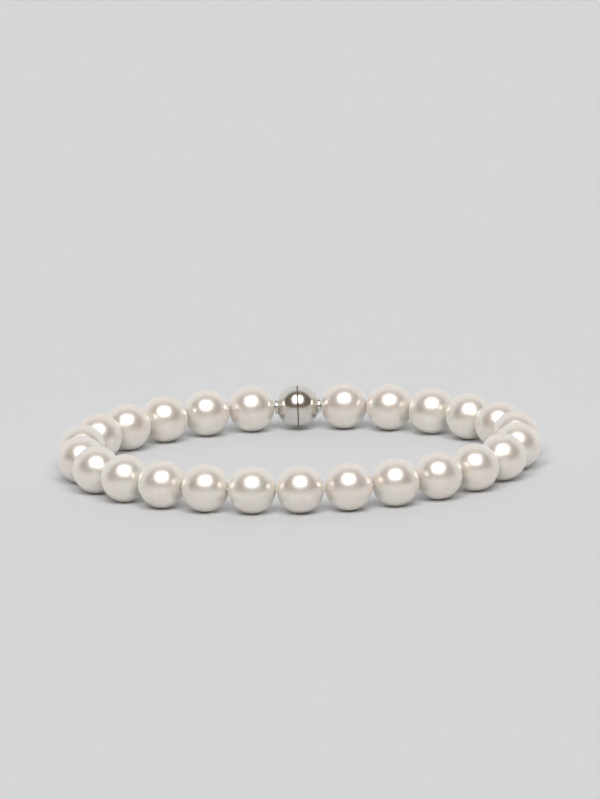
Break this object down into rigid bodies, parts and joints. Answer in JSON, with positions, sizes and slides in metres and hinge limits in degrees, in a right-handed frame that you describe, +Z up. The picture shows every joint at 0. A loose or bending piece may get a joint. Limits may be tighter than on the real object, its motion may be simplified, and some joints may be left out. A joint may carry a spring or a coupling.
{
  "type": "pearl bracelet",
  "caption": "Round bracelet of equal white pearls strung close together on one thread and closed with a plain ball clasp, worn around the wrist.",
  "frame": {"origin": "middle of the loop of thread, on the surface that the pearls rest on", "axes": "+Z up, along the wrist that the loop goes round; -Y to the front pearl, +Y to the clasp; +X to the right when the loop is seen from its front"},
  "size_m": [0.0714, 0.0581, 0.007],
  "materials": {
    "nacre": "high-luster nacre, warm white with a faint rose overtone",
    "silver": "polished sterling silver",
    "silk": "twisted silk thread, off-white"
  },
  "bodies": {
    "root": {"pearl_01": "nacre", "pearl_02": "nacre", "pearl_03": "nacre", "pearl_04": "nacre", "pearl_05": "nacre", "pearl_06": "nacre", "pearl_07": "nacre", "pearl_08": "nacre", "pearl_09": "nacre", "pearl_10": "nacre", "pearl_11": "nacre", "pearl_12": "nacre", "pearl_13": "nacre", "pearl_14": "nacre", "pearl_15": "nacre", "pearl_16": "nacre", "pearl_17": "nacre", "pearl_18": "nacre", "pearl_19": "nacre", "pearl_20": "nacre", "pearl_21": "nacre", "pearl_22": "nacre", "pearl_23": "nacre", "pearl_24": "nacre", "pearl_25": "nacre", "clasp": "silver", "thread": "silk"}
  },
  "joints": []
}
